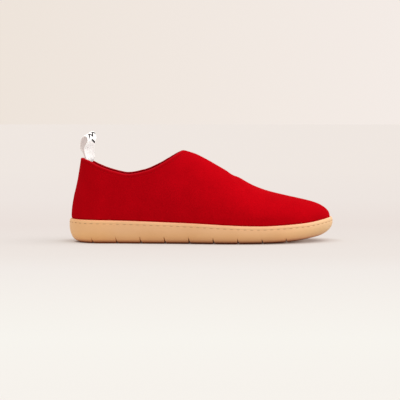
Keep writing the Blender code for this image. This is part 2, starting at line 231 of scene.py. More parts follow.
# A closed outline moved outward, square to its own run.
def grown(outline, outward):
    run = unit(np.roll(outline, -1, axis=0) - np.roll(outline, 1, axis=0))
    return outline + np.stack([run[:, 1], -run[:, 0]], axis=1) * np.reshape(outward, (-1, 1))


# Smooth noise from -1 to 1: random numbers on a lattice of cells, blended with level ends.
def softNoise(points, cell, seed):
    count = 32  # cells after which it repeats
    lattice = np.random.default_rng(seed).uniform(-1.0, 1.0, (count, count, count))
    low = np.floor(points / cell).astype(int)
    part = smoothStep(points / cell - low)
    total = 0.0
    for corner in range(8):
        step = np.array([corner & 1, corner >> 1 & 1, corner >> 2])
        weight = np.prod(np.where(step == 1, part, 1.0 - part), axis=-1)
        at = (low + step) % count
        total = total + weight * lattice[at[..., 0], at[..., 1], at[..., 2]]
    return total


# Four-sided faces of a grid of points, numbered row by row.
def gridFaces(rows, columns, closeRows=False, closeColumns=False):
    r = np.arange(rows if closeRows else rows - 1)[:, None]
    c = np.arange(columns if closeColumns else columns - 1)[None, :]
    below, above = r * columns, (r + 1) % rows * columns
    right = (c + 1) % columns
    return np.stack([below + c, below + right, above + right, above + c], axis=-1).reshape(-1, 4)


# Space that a closed mesh fills, below 0 when its faces point inwards.
def filledSpace(points, faceSets):
    total = 0.0
    for faces in faceSets:
        for k in range(1, faces.shape[1] - 1):
            a, b, c = points[faces[:, 0]], points[faces[:, k]], points[faces[:, k + 1]]
            total += np.einsum("ij,ij->i", a, np.cross(b, c)).sum() / 6.0
    return total


# A new object in the scene.
def addObject(name, data):
    made = bpy.data.objects.new(name, data)
    bpy.context.scene.collection.objects.link(made)
    return made


# A mesh object from points in millimetres and sets of faces with equal corner counts, turned to
# face outwards. uv gives a pair of numbers for each point, kept as the piece's UV map. Points less
# than merge apart become one.
def makePiece(name, points, faceSets, material, slot, uv=None, merge=0.0):
    points = np.asarray(points, float).reshape(-1, 3)
    if filledSpace(points, faceSets) < 0.0:
        faceSets = [faces[:, ::-1] for faces in faceSets]
    loops = np.concatenate([faces.ravel() for faces in faceSets])
    counts = np.concatenate([np.full(len(faces), faces.shape[1]) for faces in faceSets])
    mesh = bpy.data.meshes.new(name)
    mesh.vertices.add(len(points))
    mesh.vertices.foreach_set("co", (points * mm).astype(np.float32).ravel())
    mesh.loops.add(len(loops))
    mesh.loops.foreach_set("vertex_index", loops.astype(np.int32))
    mesh.polygons.add(len(counts))
    starts = np.concatenate([[0], np.cumsum(counts)[:-1]]).astype(np.int32)
    mesh.polygons.foreach_set("loop_start", starts)
    mesh.update(calc_edges=True)
    if uv is not None:
        layer = mesh.uv_layers.new(name="UVMap")
        layer.data.foreach_set("uv", np.asarray(uv, np.float32).reshape(-1, 2)[loops].ravel())
    if merge:
        work = bmesh.new()
        work.from_mesh(mesh)
        bmesh.ops.remove_doubles(work, verts=work.verts, dist=merge * mm)
        bmesh.ops.dissolve_degenerate(work, edges=work.edges, dist=merge * mm)
        work.to_mesh(mesh)
        work.free()
    mesh.validate()
    mesh.shade_smooth()
    mesh.materials.append(material)
    piece = addObject(name, mesh)
    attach(piece, "root")
    print(name, len(points), "points", int((counts - 2).sum()), "triangles")
    return piece


# Outward unit normals of a grid of points whose columns run round.
def gridNormals(grid, up=None):
    around = np.roll(grid, -1, axis=1) - np.roll(grid, 1, axis=1)
    rising = np.gradient(grid, axis=0)
    if up is not None:
        rising[0] = up
    return unit(np.cross(around, rising))


# Two functions for a node tree: add makes a node with its settings, and fill gives its sockets
# numbers, colours or links to the outputs of other nodes.
def treeTools(tree):
    def fill(node, sockets):
        for key, value in sockets.items():
            socket = node.inputs[key]
            if isinstance(value, bpy.types.NodeSocket):
                tree.links.new(value, socket)
            else:
                socket.default_value = (*value, 1.0) if socket.type == "RGBA" else value

    def add(kind, sockets=None, **settings):
        node = tree.nodes.new(kind)
        for key, value in settings.items():
            setattr(node, key, value)
        fill(node, sockets or {})
        return node

    return add, fill


# Starts a material: itself, its shader and the two functions for its nodes.
def startMaterial(name):
    material = bpy.data.materials.new(name)
    material.use_nodes = True
    return material, material.node_tree.nodes["Principled BSDF"], *treeTools(material.node_tree)


# The separate numbers of the Object coordinates, in metres.
def addPlace(add):
    place = add("ShaderNodeTexCoord").outputs["Object"]
    return add("ShaderNodeSeparateXYZ", {"Vector": place}).outputs


# The two numbers of the UV map, as X and Y.
def addUV(add):
    return add("ShaderNodeSeparateXYZ", {"Vector": add("ShaderNodeUVMap").outputs["UV"]}).outputs


# Noise on Object coordinates, which are in metres. Its cells are about size millimetres.
def addNoise(add, size, detail=2.0, roughness=0.5):
    place = add("ShaderNodeTexCoord").outputs["Object"]
    sockets = {"Vector": place, "Scale": 1000.0 / size, "Detail": detail, "Roughness": roughness}
    return add("ShaderNodeTexNoise", sockets).outputs["Fac"]


# Blends from one colour to another as a number between 0 and 1 goes from low to high.
def addBlend(add, number, low, high, colourLow, colourHigh):
    ramp = add("ShaderNodeValToRGB", {"Fac": number})
    for stop, where, colour in zip(ramp.color_ramp.elements, (low, high), (colourLow, colourHigh)):
        stop.position, stop.color = where, (*colour, 1.0)
    return ramp.outputs["Color"]


# The colour that a table of places and colours gives for a number. A single number there is a grey.
def addRamp(add, number, tones):
    low, high = tones[0][0], tones[-1][0]
    share = add("ShaderNodeMapRange", {"Value": number, "From Min": low, "From Max": high})
    ramp = add("ShaderNodeValToRGB", {"Fac": share.outputs["Result"]})
    stops = ramp.color_ramp.elements
    for _ in tones[2:]:
        stops.new(0.5)
    for stop, (where, tone) in zip(stops, tones):
        colour = tone if isinstance(tone, tuple) else (tone, tone, tone)
        stop.position, stop.color = (where - low) / (high - low), (*colour, 1.0)
    return ramp.outputs["Color"]


# One colour mixed into another by a factor.
def addMix(add, factor, first, second, way="MIX"):
    sockets = {"Factor": factor, "A": first, "B": second}
    return add("ShaderNodeMix", sockets, data_type="RGBA", blend_type=way).outputs["Result"]


# One colour times another.
def addProduct(add, first, second):
    return addMix(add, 1.0, first, second, "MULTIPLY")


# A sum, product or other operation on numbers.
def addMath(add, operation, *numbers):
    return add("ShaderNodeMath", dict(enumerate(numbers)), operation=operation).outputs[0]


# Bump of a number, in millimetres, on top of an earlier bump if there is one.
def addBump(add, number, height, strength, before=None):
    sockets = {"Height": number, "Strength": strength, "Distance": height * mm}
    if before is not None:
        sockets["Normal"] = before
    return add("ShaderNodeBump", sockets).outputs["Normal"]


# A colour made darker or paler.
def scaled(colour, share):
    return tuple(channel * share for channel in colour)


view = {
    "target": (-1.33, 0.0, 44.0),
    "distance": 1600.0,
    "elevation": 3.0,
    "focalPixels": 1503.4,
    "imageWidth": 400,
    "sensorWidth": 36.0,
    "clip": (0.05, 60.0),  # in metres
}


# Camera on the outer side, raised by the elevation and looking square to the shoe's length.
def makeCamera():
    data = bpy.data.cameras.new("photoCamera")
    data.sensor_width = view["sensorWidth"]
    data.lens = view["focalPixels"] / view["imageWidth"] * data.sensor_width
    data.clip_start, data.clip_end = view["clip"]
    camera = addObject("photoCamera", data)
    tilt = np.radians(view["elevation"])
    back = np.array([0.0, -np.cos(tilt), np.sin(tilt)]) * view["distance"]
    camera.location = (np.array(view["target"]) + back) * mm
    camera.rotation_euler = (np.pi / 2 - tilt, 0.0, 0.0)
    bpy.context.scene.camera = camera


studio = {
    "floorColour": (0.264, 0.258, 0.258),
    # painted glow: the floor gives off light standing in for what the white walls send back, by the place
    # along Y in metres, dimmer about the shoe as painted shade
    "paintedFloorGlow": [(-0.88, (0.963, 0.955, 0.902)), (-0.72, (0.973, 0.983, 0.926)),
                  (-0.53, (0.942, 0.927, 0.878)), (-0.31, (0.894, 0.863, 0.828)),
                  (-0.17, (0.850, 0.795, 0.750)), (0.0, (0.829, 0.773, 0.730)),
                  (0.25, (0.800, 0.720, 0.680)), (0.84, (0.838, 0.775, 0.736)),
                  (2.3, (0.862, 0.800, 0.750))],
    "glowShare": 0.592,
    # painted shadow under and beside the shoe, where the glow fades: over how many metres, and how far
    # the light there leans along X and Y
    "paintedShadows": [(0.003, 0.0, -0.6), (0.022, -1.0, -6.0)],
    # painted bounce light: the colour the glow takes in the painted shadow
    "paintedBounceTint": (0.80, 0.50, 0.38),  # its colour there, warm from the rubber
    "floorRadii": (0.5, 2.0, 8.0, 60.0),  # in metres, as is how far it lies below the tread
    "floorSides": 128,
    "floorSink": 0.00005,
    "skyLeft": (0.855, 0.776, 0.706),
    "skyRight": (0.905, 0.835, 0.790),
    "skyBlend": 0.13,  # X of a direction at which the sky has reached its right-hand tone
}
sun = {  # turn from the toe towards the camera, height and softness in degrees
    "turn": 8.0,
    "height": 58.0,
    "soft": 50.0,
    "strength": 1.75,
    "colour": (1.0, 0.97, 0.94),
}


# A level disc, so wide that its edge lies at the horizon.
def makeFloor():
    radii, sides = studio["floorRadii"], studio["floorSides"]
    around = evenTurns(sides)
    rings = [np.zeros((1, 3))]
    for radius in radii:
        rings.append(np.column_stack([radius * np.cos(around), radius * np.sin(around), 0.0 * around]))
    points = np.vstack(rings) - np.array([0.0, 0.0, studio["floorSink"]])
    faces = (gridFaces(len(radii), sides, closeColumns=True)[:, ::-1] + 1).tolist()
    faces += [(0, 1 + k, 1 + (k + 1) % sides) for k in range(sides)]
    mesh = bpy.data.meshes.new("paleFloor")
    mesh.from_pydata(points.tolist(), [], faces)
    material, shader, add, fill = startMaterial("palePaper")
    # Painted shadow: ambient occlusion dims the floor's glow under and beside the shoe and turns it warm
    # there as painted bounce light
    light = []
    for fade, leanX, leanY in studio["paintedShadows"]:
        toward = add("ShaderNodeCombineXYZ", {"X": leanX, "Y": leanY, "Z": 1.0})
        sockets = {"Distance": fade, "Normal": toward.outputs["Vector"]}
        light.append(add("ShaderNodeAmbientOcclusion", sockets, samples=8).outputs["AO"])
    clear = addMath(add, "MULTIPLY", *light)
    glow = addRamp(add, addPlace(add)["Y"], studio["paintedFloorGlow"])
    fill(shader, {
        "Base Color": studio["floorColour"],
        "Roughness": 1.0,
        "Specular IOR Level": 0.0,
        "Emission Strength": addMath(add, "MULTIPLY", clear, studio["glowShare"]),
        "Emission Color": addMix(add, clear, studio["paintedBounceTint"], glow),
    })
    mesh.materials.append(material)
    floor = addObject("paleFloor", mesh)


# A soft sun for the studio's lamps, and a pale sky all round for its white walls.
def makeLights():
    data = bpy.data.lights.new("keySun", "SUN")
    data.angle = np.radians(sun["soft"])
    data.energy = sun["strength"]
    data.color = sun["colour"]
    light = addObject("keySun", data)
    light.rotation_euler = (np.radians(90.0 - sun["height"]), 0.0, np.radians(90.0 - sun["turn"]))
    world = bpy.data.worlds.new("studioSky")
    world.use_nodes = True
    add, fill = treeTools(world.node_tree)
    toward = add("ShaderNodeSeparateXYZ", {"Vector": add("ShaderNodeTexCoord").outputs["Generated"]})
    ends = {"From Min": -studio["skyBlend"], "From Max": studio["skyBlend"]}
    across = add("ShaderNodeMapRange", {"Value": toward.outputs["X"], **ends})
    tone = addMix(add, across.outputs["Result"], studio["skyLeft"], studio["skyRight"])
    fill(world.node_tree.nodes["Background"], {"Color": tone})
    bpy.context.scene.world = world
    bpy.context.scene.view_settings.view_transform = "Standard"
    bpy.context.scene.view_settings.look = "None"


makeCamera()
makeFloor()
makeLights()
print("camera, floor and light made")

felt = {
    "colour": (0.515, 0.0010, 0.0058),
    # tones from the inside over the cut edge to the outside, by the distance from the edge: painted
    # shade inside, a painted highlight on the outer half of the cut edge, faint painted shade along the
    # seam
    "edgeLightAndShade": [(-3.0, (0.70, 0.7, 0.7)), (-0.9, (0.78, 1.0, 0.9)), (0.4, (1.24, 13.0, 4.4)),
                  (1.1, (1.15, 7.0, 2.5)), (1.8, (0.98, 1.0, 1.0)), (3.0, (0.97, 0.94, 0.94)),
                  (5.5, (0.99, 0.97, 0.97)), (8.5, 1.0)],
    # painted light and shade by the place along X in metres, darker about the middle and brighter over the
    # forefoot
    "lengthTones": [(-0.140, (0.985, 1.0, 1.0)), (-0.090, (0.965, 1.0, 1.0)),
                    (-0.035, (0.94, 1.0, 1.0)), (-0.010, 1.0), (0.020, (1.035, 1.0, 1.0)),
                    (0.075, (1.05, 1.0, 1.0)), (0.110, (1.03, 1.0, 1.0))],
    "mottle": 0.10,  # share by which its patches are darker
    "patchSize": 17.0,
    "tuftSize": 4.5,
    "fibreSize": 1.1,
    "turnSteps": 440,
    "fineSteps": 900,  # on which the rows' heights are read
    "nearRows": (2.2, 7.0, 13),  # first and last distance from the collar, and how many
    "farRows": 73,
    "farCrowding": 1.25,  # 1 spaces them evenly
    "footRows": 4,  # below the rim
    "insideRows": 60,
    "turnSpan": 100.0,  # the UV map's first number for each radian of the turn
    "edgeRound": 1.5,
    "edgeRows": 9,
    "edgeWave": 0.06,  # share by which its rounding varies, over about edgeCell
    "edgeCell": 3.0,
    "lumps": 0.16,
    "lumpCell": 14.0,
    "pills": 0.07,
    "pillCell": 4.5,
    "insideLumps": 0.10,
    "insideCell": 9.0,
    "reliefStart": 0.5,  # above the rim
    "reliefRise": 6.0,
    "creaseX": 33.0,
    "creaseWidth": 7.0,
    "creaseDepth": 0.75,
    "creaseFoot": 48.0,  # height from which it shows
    "creaseRise": 14.0,
    "creaseY": 2.0,  # about which it bends and slants
    "creaseBend": 0.010,
    "creaseSlant": 0.10,
    "ridgeShare": 0.35,  # of the crease's depth
    "ridgeAway": 8.5,
    "ridgeWidth": 6.0,
    "stitchDown": 4.0,  # from the collar's edge
    "stitchPitch": 3.4,
    "stitchLength": 2.3,
    "stitchRadius": 0.24,
    "stitchLift": 0.12,  # of its middle over the channel's bottom
    "stitchDip": 0.35,  # of its ends
    "channelWidth": 1.3,
    "channelDepth": 0.3,
    "tuckRise": 1.2,
    "tuckHeight": 8.0,
}
tuckTable = {  # share of the length, how far the felt is drawn in just above the rim
    "along": [0.00, 0.05, 0.20, 0.50, 0.60, 0.72, 0.92, 1.00],
    "depth": [-0.10, 0.00, 0.45, 0.50, 0.10, -0.35, -0.35, 0.00],
}


# Felt: soft patches and a fine nap. The second number of the UV map is the distance from the cut
# edge in millimetres; by it an edged piece gets a painted highlight on the cut edge and painted shade
# inside and along the seam, and by X painted light and shade along its length.
def feltMaterial(name, colour, mottle, edged=False):
    material, shader, add, fill = startMaterial(name)
    patches = addNoise(add, felt["patchSize"], detail=4.0, roughness=0.6)
    tone = addBlend(add, patches, 0.3, 0.7, scaled(colour, 1.0 - mottle), colour)
    fibres = addNoise(add, felt["fibreSize"], detail=3.0, roughness=0.65)
    fine = addBlend(add, fibres, 0.3, 0.75, (0.80, 0.80, 0.80), (1.0, 1.0, 1.0))
    if edged:
        # painted highlight and shade by the cut edge, then painted light and shade along X
        tone = addProduct(add, tone, addRamp(add, addUV(add)["Y"], felt["edgeLightAndShade"]))
        tone = addProduct(add, tone, addRamp(add, addPlace(add)["X"], felt["lengthTones"]))
    tufts = addBump(add, addNoise(add, felt["tuftSize"], detail=3.0), 0.5, 0.5)
    fill(shader, {
        "Base Color": addProduct(add, tone, fine),
        "Normal": addBump(add, fibres, 0.28, 0.9, tufts),
        "Roughness": 1.0,
        "Specular IOR Level": 0.01,
    })
    return material


# Distances down from the collar at which the rows stand: close together by the edge and its seam,
# then shares of what is left, closer again over the rim.
def rowDistances(whole):
    near = np.concatenate([[felt["edgeRound"]], np.linspace(*felt["nearRows"])])
    share = np.linspace(0.0, 1.0, felt["farRows"] + 1)[1:]
    share = 1.0 - (1.0 - share) ** felt["farCrowding"]
    far = near[-1] + (whole - near[-1]) * share[:, None]
    return np.vstack([near[:, None] + 0.0 * whole, far])


# The grid of the felt's outside, rows from the cup floor up to the collar: the heights are read off
# each turn's line at the rows' distances. Also the distance of each point from the collar's edge.
def feltGrid(turn):
    feather = featherLine(turn)
    rim, top = rimHeight(feather[:, 0]), collarHeight(turn)
    dense = rim + (top - rim) * np.linspace(0.0, 1.0, felt["fineSteps"])[:, None]
    run = runAlong(upperOutside(turn + 0.0 * dense, dense))
    down = rowDistances(run[-1])
    heights = np.column_stack([
        np.interp(run[-1, k] - down[::-1, k], run[:, k], dense[:, k]) for k in range(len(turn))
    ])
    foot = cupFloorHeight(feather[:, 0]) + last["gap"]
    below = foot + (rim - foot) * np.linspace(0.0, 1.0, felt["footRows"] + 1)[:-1, None]
    heights = np.vstack([below, heights])
    down = np.vstack([down[-1] + rim - below, down[::-1]])
    return upperOutside(turn + 0.0 * heights, heights), down


# How far the felt stands out from the smooth last: lumps, the trough across the vamp with its
# ridge, the seam's channel, and the tuck above the rim.
def feltRelief(points, down):
    x, y, z = points[..., 0], points[..., 1], points[..., 2]
    over = z - rimHeight(x)
    free = smoothStep((over - felt["reliefStart"]) / felt["reliefRise"])
    relief = felt["lumps"] * softNoise(points, felt["lumpCell"], seed=3)
    relief += felt["pills"] * softNoise(points, felt["pillCell"], seed=5)
    top = smoothStep((z - felt["creaseFoot"]) / felt["creaseRise"])
    side = y - felt["creaseY"]
    ahead = x - (felt["creaseX"] + felt["creaseBend"] * side**2 - felt["creaseSlant"] * side)
    ridge = felt["ridgeShare"] * felt["creaseDepth"] * top
    relief -= felt["creaseDepth"] * top * hump(ahead / felt["creaseWidth"])
    relief += ridge * hump((ahead - felt["ridgeAway"]) / felt["ridgeWidth"])
    seam = hump((down - felt["stitchDown"]) / felt["channelWidth"])
    tuck = alongLength(tuckTable, "depth", x) * smoothStep(over / felt["tuckRise"])
    tuck *= 1.0 - smoothStep(over / felt["tuckHeight"])
    return free * relief - felt["channelDepth"] * seam - tuck


# The felt's skin: its outside with the relief, half a circle over the cut edge, and the inside one
# thickness in. Also gives the smooth grid, its normals and the distances from the collar's edge.
def makeFeltUpper():
    turn = evenTurns(felt["turnSteps"])
    smooth, down = feltGrid(turn)
    normal = gridNormals(smooth, up=(0.0, 0.0, 1.0))
    outside = smooth + normal * feltRelief(smooth, down)[..., None]
    inward = felt["insideLumps"] * softNoise(smooth, felt["insideCell"], seed=11)[..., None]
    inside = smooth - normal * (last["feltThick"] + inward)
    half, n, p = felt["edgeRound"], normal[-1], smooth[-1]
    rising = unit(np.cross(n, np.roll(p, -1, axis=0) - np.roll(p, 1, axis=0)))
    if rising[:, 2].mean() < 0.0:
        rising = -rising
    angle = np.linspace(0.0, np.pi, felt["edgeRows"] + 2)[1:-1, None, None]
    wave = 1.0 + felt["edgeWave"] * softNoise(p, felt["edgeCell"], seed=21)[None, :, None]
    edge = p - n * half + half * wave * (np.cos(angle) * n + np.sin(angle) * rising)
    keep = np.unique(np.linspace(0, len(inside) - 1, felt["insideRows"]).astype(int))
    rings = np.concatenate([outside, edge, inside[keep][::-1]])
    fromEdge = np.cos(angle[:, :, 0]) * half + 0.0 * down[:1]
    fromEdge = np.concatenate([down, fromEdge, -down[keep][::-1]])
    uv = np.stack(np.broadcast_arrays(turn * felt["turnSpan"], fromEdge), axis=-1)
    faces = gridFaces(len(rings), len(turn), closeRows=True, closeColumns=True)
    material = feltMaterial("redFelt", felt["colour"], felt["mottle"], edged=True)
    piece = makePiece("feltUpper", rings, [faces], material, "upper_felt", uv=uv)
    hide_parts("upper")
    return smooth, normal, down


feltSmooth, feltNormal, feltDown = makeFeltUpper()
print("felt upper made")


# Short threads with round ends: each a tube along its own run that is thickest in the middle and
# dips at both ends. places, runs and outs are one row a stitch.
def threadTubes(places, runs, outs, length, radius, dip, stations=7, sides=6):
    s = np.linspace(-1.0, 1.0, stations)
    width = radius * np.sqrt(1.0 - 0.9 * s**4)
    sink = -dip * s**2
    across = np.cross(outs, runs)
    a = np.arange(sides) * 2.0 * np.pi / sides
    centre = (places[:, None, :] + runs[:, None, :] * (s * length / 2)[None, :, None]
              + outs[:, None, :] * sink[None, :, None])
    ring = (np.cos(a)[None, None, :, None] * outs[:, None, None, :]
            + np.sin(a)[None, None, :, None] * across[:, None, None, :])
    points = centre[:, :, None, :] + ring * width[None, :, None, None]
    one = gridFaces(stations, sides, closeColumns=True)
    offset = (np.arange(len(places)) * stations * sides)[:, None, None]
    faces = (one[None] + offset).reshape(-1, 4)
    startCap = np.arange(sides)[None, ::-1] + offset[:, 0]
    endCap = (stations - 1) * sides + np.arange(sides)[None, :] + offset[:, 0]
    return points.reshape(-1, 3), [faces, np.vstack([startCap, endCap])]


# Points spaced evenly along a closed line, and the line's unit run there, with other columns of
# numbers read at the same places.
def evenAlong(line, pitch, *others):
    closed = np.vstack([line, line[:1]])
    run = runAlong(closed)
    count = int(round(run[-1] / pitch))
    at = (np.arange(count) + 0.5) * run[-1] / count

    def read(rows, where):
        rows = np.vstack([rows, rows[:1]])
        return np.column_stack([np.interp(where % run[-1], run, rows[:, k]) for k in range(rows.shape[1])])

    near = 0.3  # over which the run is measured
    ahead = unit(read(line, at + near) - read(line, at - near))
    return [read(line, at), ahead] + [read(rows, at) for rows in others]


# Thread: a fine twist, darker between its strands.
def threadMaterial(name, colour):
    material, shader, add, fill = startMaterial(name)
    twist = addNoise(add, 0.5, detail=2.0)
    fill(shader, {
        "Base Color": addBlend(add, twist, 0.3, 0.7, scaled(colour, 0.75), colour),
        "Normal": addBump(add, twist, 0.1, 0.8),
        "Roughness": 0.8,
        "Specular IOR Level": 0.1,
    })
    return material


# A piece of stitches, whose sizes are in the dictionary of the piece that they are sewn into. outs
# are made square to runs first.
def makeStitches(name, sizes, places, runs, outs, material, slot, **steps):
    outs = unit(outs - runs * np.einsum("ij,ij->i", outs, runs)[:, None])
    points, faces = threadTubes(places, runs, outs, sizes["stitchLength"], sizes["stitchRadius"],
                                sizes["stitchDip"], **steps)
    makePiece(name, points, faces, material, slot)


# Stitches all round below the collar, along the grid's row nearest to them.
def makeCollarStitches():
    row = np.argmin(np.abs(feltDown[:, 0] - felt["stitchDown"]))
    line = feltSmooth[row] - feltNormal[row] * (felt["channelDepth"] - felt["stitchLift"])
    thread = threadMaterial("redThread", scaled(felt["colour"], 0.85))
    rows = evenAlong(line, felt["stitchPitch"], feltNormal[row])
    makeStitches("collarStitches", felt, *rows, thread, "upper_felt")


makeCollarStitches()
print("collar stitches made")

sole = {
    "colour": (0.85, 0.52, 0.28),
    "shade": (0.78, 0.45, 0.22),
    "cloudSize": 38.0,
    "roughness": (0.42, 0.56),
    # tones up from the tread, down from the rim, and by the place along X in metres: painted shade at
    # the contact line, a painted highlight on the rim, pinkish as painted reflection of the felt, and
    # painted light and shade along the length
    "fromTread": [(0.0, (0.22, 0.06, 0.015)), (1.3, (0.48, 0.24, 0.13)), (2.4, (0.74, 0.50, 0.37)),
                  (4.5, (0.95, 0.85, 0.70)), (8.8, (1.0, 0.98, 0.88)), (14.0, 1.0)],
    "fromRim": [(0.0, (1.18, 0.93, 1.02)), (0.6, (1.12, 1.02, 1.08)), (1.5, (0.99, 1.0, 1.01)),
                (2.4, 0.98)],
    "lengthTones": [(-0.140, (1.07, 1.07, 0.97)), (-0.110, (1.055, 1.05, 0.995)), (-0.085, 1.0),
                    (0.085, 1.0), (0.135, (0.955, 1.06, 1.11))],
    # painted shade at the lower edge of the ball, and painted light at the toe: the tones up from the
    # tread, and how much of them shows by the place along X
    "ballTones": [(0.0, (0.40, 0.30, 0.20)), (1.3, (0.62, 0.52, 0.45)), (2.4, (0.83, 0.82, 0.84)),
                  (4.0, (0.865, 0.86, 0.88)), (6.0, (0.935, 0.93, 0.94)), (9.0, (0.99, 0.98, 0.98)),
                  (12.0, 1.0)],
    "ballShare": [(-0.083, 0.0), (-0.050, 0.4), (-0.010, 0.85), (0.007, 1.0), (0.030, 0.8),
                  (0.070, 0.85), (0.085, 0.0)],
    "toeTones": [(5.0, 1.02), (8.0, 1.05), (12.5, (1.045, 1.05, 1.05)), (15.0, 1.0), (20.0, 0.98)],
    "toeShare": [(0.078, 0.0), (0.090, 1.0), (0.112, 1.0), (0.125, 0.0)],
    "stations": 300,  # along the sole, without those at the grooves
    "middleReach": (-114.0, 92.0),  # outside it the level lines' stations close up to the ends
    "halfTurns": 1200,
    "levels": (-20.0, 3.2, 59),  # first and last outward distance of the level lines, and how many
    "treadRows": 12,
    "stepRows": (0.2, 0.45, 0.72),  # shares of the step
    "edgeRows": 22,
    "wallRows": 4,
    "channelRows": 12,
    "rimRows": 7,
    "lip": [(0.35, 0.0), (0.08, 0.12), (0.0, 0.4)],  # from the cup's inside, and down from the rim
    "rimRun": 2.0,
    "rimDrop": 3.8,
    "treadInset": 0.8,
    "grooves": 9,
    "groovePitch": 25.36,
    "grooveFirst": -113.4,
    "grooveWidth": 2.4,
    "grooveDepth": 3.0,
    "groovePower": 0.85,  # 1 is a sharp wedge, 2 a rounded slit
    "grooveLevelHalf": 20.0,
    "grooveRamp": 20.0,
    "grooveLean": 1.9,  # how far back it runs by the top of the rounded edge
    "grooveStations": (-3.2, 1.3, 19),  # first and last place by a groove, and how many
    "grooveClear": 3.1,  # no other station is nearer to a groove
    "stitchTurns": 900,
    "stitchDown": 3.7,
    "stitchPitch": 7.0,
    "stitchLength": 4.3,
    "stitchRadius": 0.34,
    "stitchLift": 0.1,
    "stitchDip": 0.5,
    "channelWidth": 0.7,
    "channelDepth": 0.3,
}
grooveX = sole["grooveFirst"] + sole["groovePitch"] * np.arange(sole["grooves"])


# Places along the sole: crowded at its two ends and at each groove.
def soleStations():
    outer = lastHalf + last["gap"] + last["cupWall"]
    base = -outer * np.cos(np.linspace(0.0, np.pi, sole["stations"]))
    near = (grooveX[:, None] + np.linspace(*sole["grooveStations"])).ravel()
    far = np.abs(base[:, None] - grooveX[None, :]).min(axis=1) > sole["grooveClear"]
    return np.unique(np.concatenate([base[far], near]))


# One level line of the sole at the stations: the feather line moved outward, read at each station's
# place on both sides. In the middle the place is the station itself, and towards the two ends the
# stations close up to the line's own ends.
def levelLine(stations, outward):
    half = sole["halfTurns"]
    dense = grown(featherLine(evenTurns(2 * half)), outward)
    outer, inner = dense[:half + 1], np.vstack([dense[half:], dense[:1]])[::-1]
    start, end = dense[0, 0], dense[half, 0]
    low, high = sole["middleReach"]
    byHeel = start + (stations - stations[0]) * (low - start) / (low - stations[0])
    byToe = end - (stations[-1] - stations) * (end - high) / (stations[-1] - high)
    x = np.where(stations < low, byHeel, np.where(stations > high, byToe, stations))
    lateral = np.column_stack([x, np.interp(x, outer[:, 0], outer[:, 1])])
    medial = np.column_stack([x, np.interp(x, inner[:, 0], inner[:, 1])])
    return lateral, medial


# Height of the roof of the nearest groove over a point of the underside. back is how far the
# groove's middle stands back there.
def grooveRoof(x, y, back):
    nearest = grooveX[np.abs(x[..., None] - grooveX).argmin(axis=-1)]
    climb = smoothStep((np.abs(y) - sole["grooveLevelHalf"]) / sole["grooveRamp"])
    depth = sole["grooveDepth"] + (alongLength(sideTable, "groove", nearest) - sole["grooveDepth"]) * climb
    share = np.abs(x - nearest + back) / (sole["grooveWidth"] / 2.0)
    return bottomHeight(nearest) + depth * (1.0 - share ** sole["groovePower"])


# A reader of the level lines at the stations: lines are laid out once at fixed distances, and an
# outward distance for each station is read between them.
def levelReader(stations):
    steps = np.linspace(*sole["levels"])
    lines = np.array([levelLine(stations, step) for step in steps])  # step, side, station, xy
    k = np.arange(len(stations))

    def read(outward, which):
        at = (np.broadcast_to(outward, stations.shape) - steps[0]) / (steps[1] - steps[0])
        low = np.clip(at.astype(int), 0, len(steps) - 2)
        part = (at - low)[:, None]
        return lines[low, which, k] * (1.0 - part) + lines[low + 1, which, k] * part

    return read


# Half of the sole's cross section at every station, from the middle of the underside over the
# step and the rounded edge, up the wall with its stitch channel, over the rim and down to the floor
# of the cup. Each row is an outward distance from the feather line and a height.
def soleHalf(stations, read, which):
    outer = last["gap"] + last["cupWall"]
    wall = read(outer, which)
    run, rise, step = (alongLength(sideTable, name, wall[:, 0]) for name in ("run", "rise", "step"))
    rim = rimHeight(read(0.0, which)[:, 0])
    bottom = bottomHeight(read(outer - run, which)[:, 0])
    foot = rim - bottomHeight(wall[:, 0]) - rise
    tread = outer - run - sole["treadInset"]
    centre = (read(tread, which) + read(tread, 1 - which)) / 2.0
    rows = []

    def put(place, height):
        rows.append(np.column_stack([place, height]))

    for share in np.linspace(0.0, 1.0, sole["treadRows"]):
        put(centre + (read(tread, which) - centre) * share, bottom)
    for share in sole["stepRows"]:
        put(read(tread + sole["treadInset"] * share**1.5, which), bottom + step * share)
    for angle in np.linspace(0.0, np.pi / 2, sole["edgeRows"]):
        out = outer - run * (1.0 - np.sin(angle))
        place = read(out, which)
        put(place, bottomHeight(place[:, 0]) + step + (rise - step) * (1.0 - np.cos(angle)))
    mark, spread = sole["stitchDown"], 1.5 * sole["channelWidth"]
    wallShares = np.linspace(0.0, 1.0, sole["wallRows"] + 1)[1:]
    across = np.linspace(spread, -spread, sole["channelRows"] + 1)[1:]
    bend = np.linspace(0.0, np.pi / 2, sole["rimRows"] + 1)[1:]
    below = [foot + (mark + spread - foot) * share for share in wallShares]
    below += [mark + f for f in across]
    below += list((mark - spread) * (1.0 - np.sin(bend)))
    for depth in below:
        lift = np.clip(1.0 - depth / sole["rimDrop"], 0.0, 1.0)
        out = outer - sole["rimRun"] * (1.0 - np.sqrt(1.0 - lift**2))
        out = out - sole["channelDepth"] * hump((depth - mark) / sole["channelWidth"])
        put(read(out, which), rim - depth)
    for out, fall in sole["lip"]:
        put(read(last["gap"] + out, which), rim - fall)
    inside, drop = read(last["gap"], which), sole["lip"][-1][1]
    floor = cupFloorHeight(inside[:, 0])
    for share in (0.35, 0.7, 1.0):  # down the cup's wall
        put(inside, rim - drop + (floor - rim + drop) * share)
    centre = (inside + read(last["gap"], 1 - which)) / 2.0
    for share in (0.25, 0.5, 0.75, 1.0):  # over its floor to the middle
        put(inside + (centre - inside) * share, floor)
    return np.array(rows)
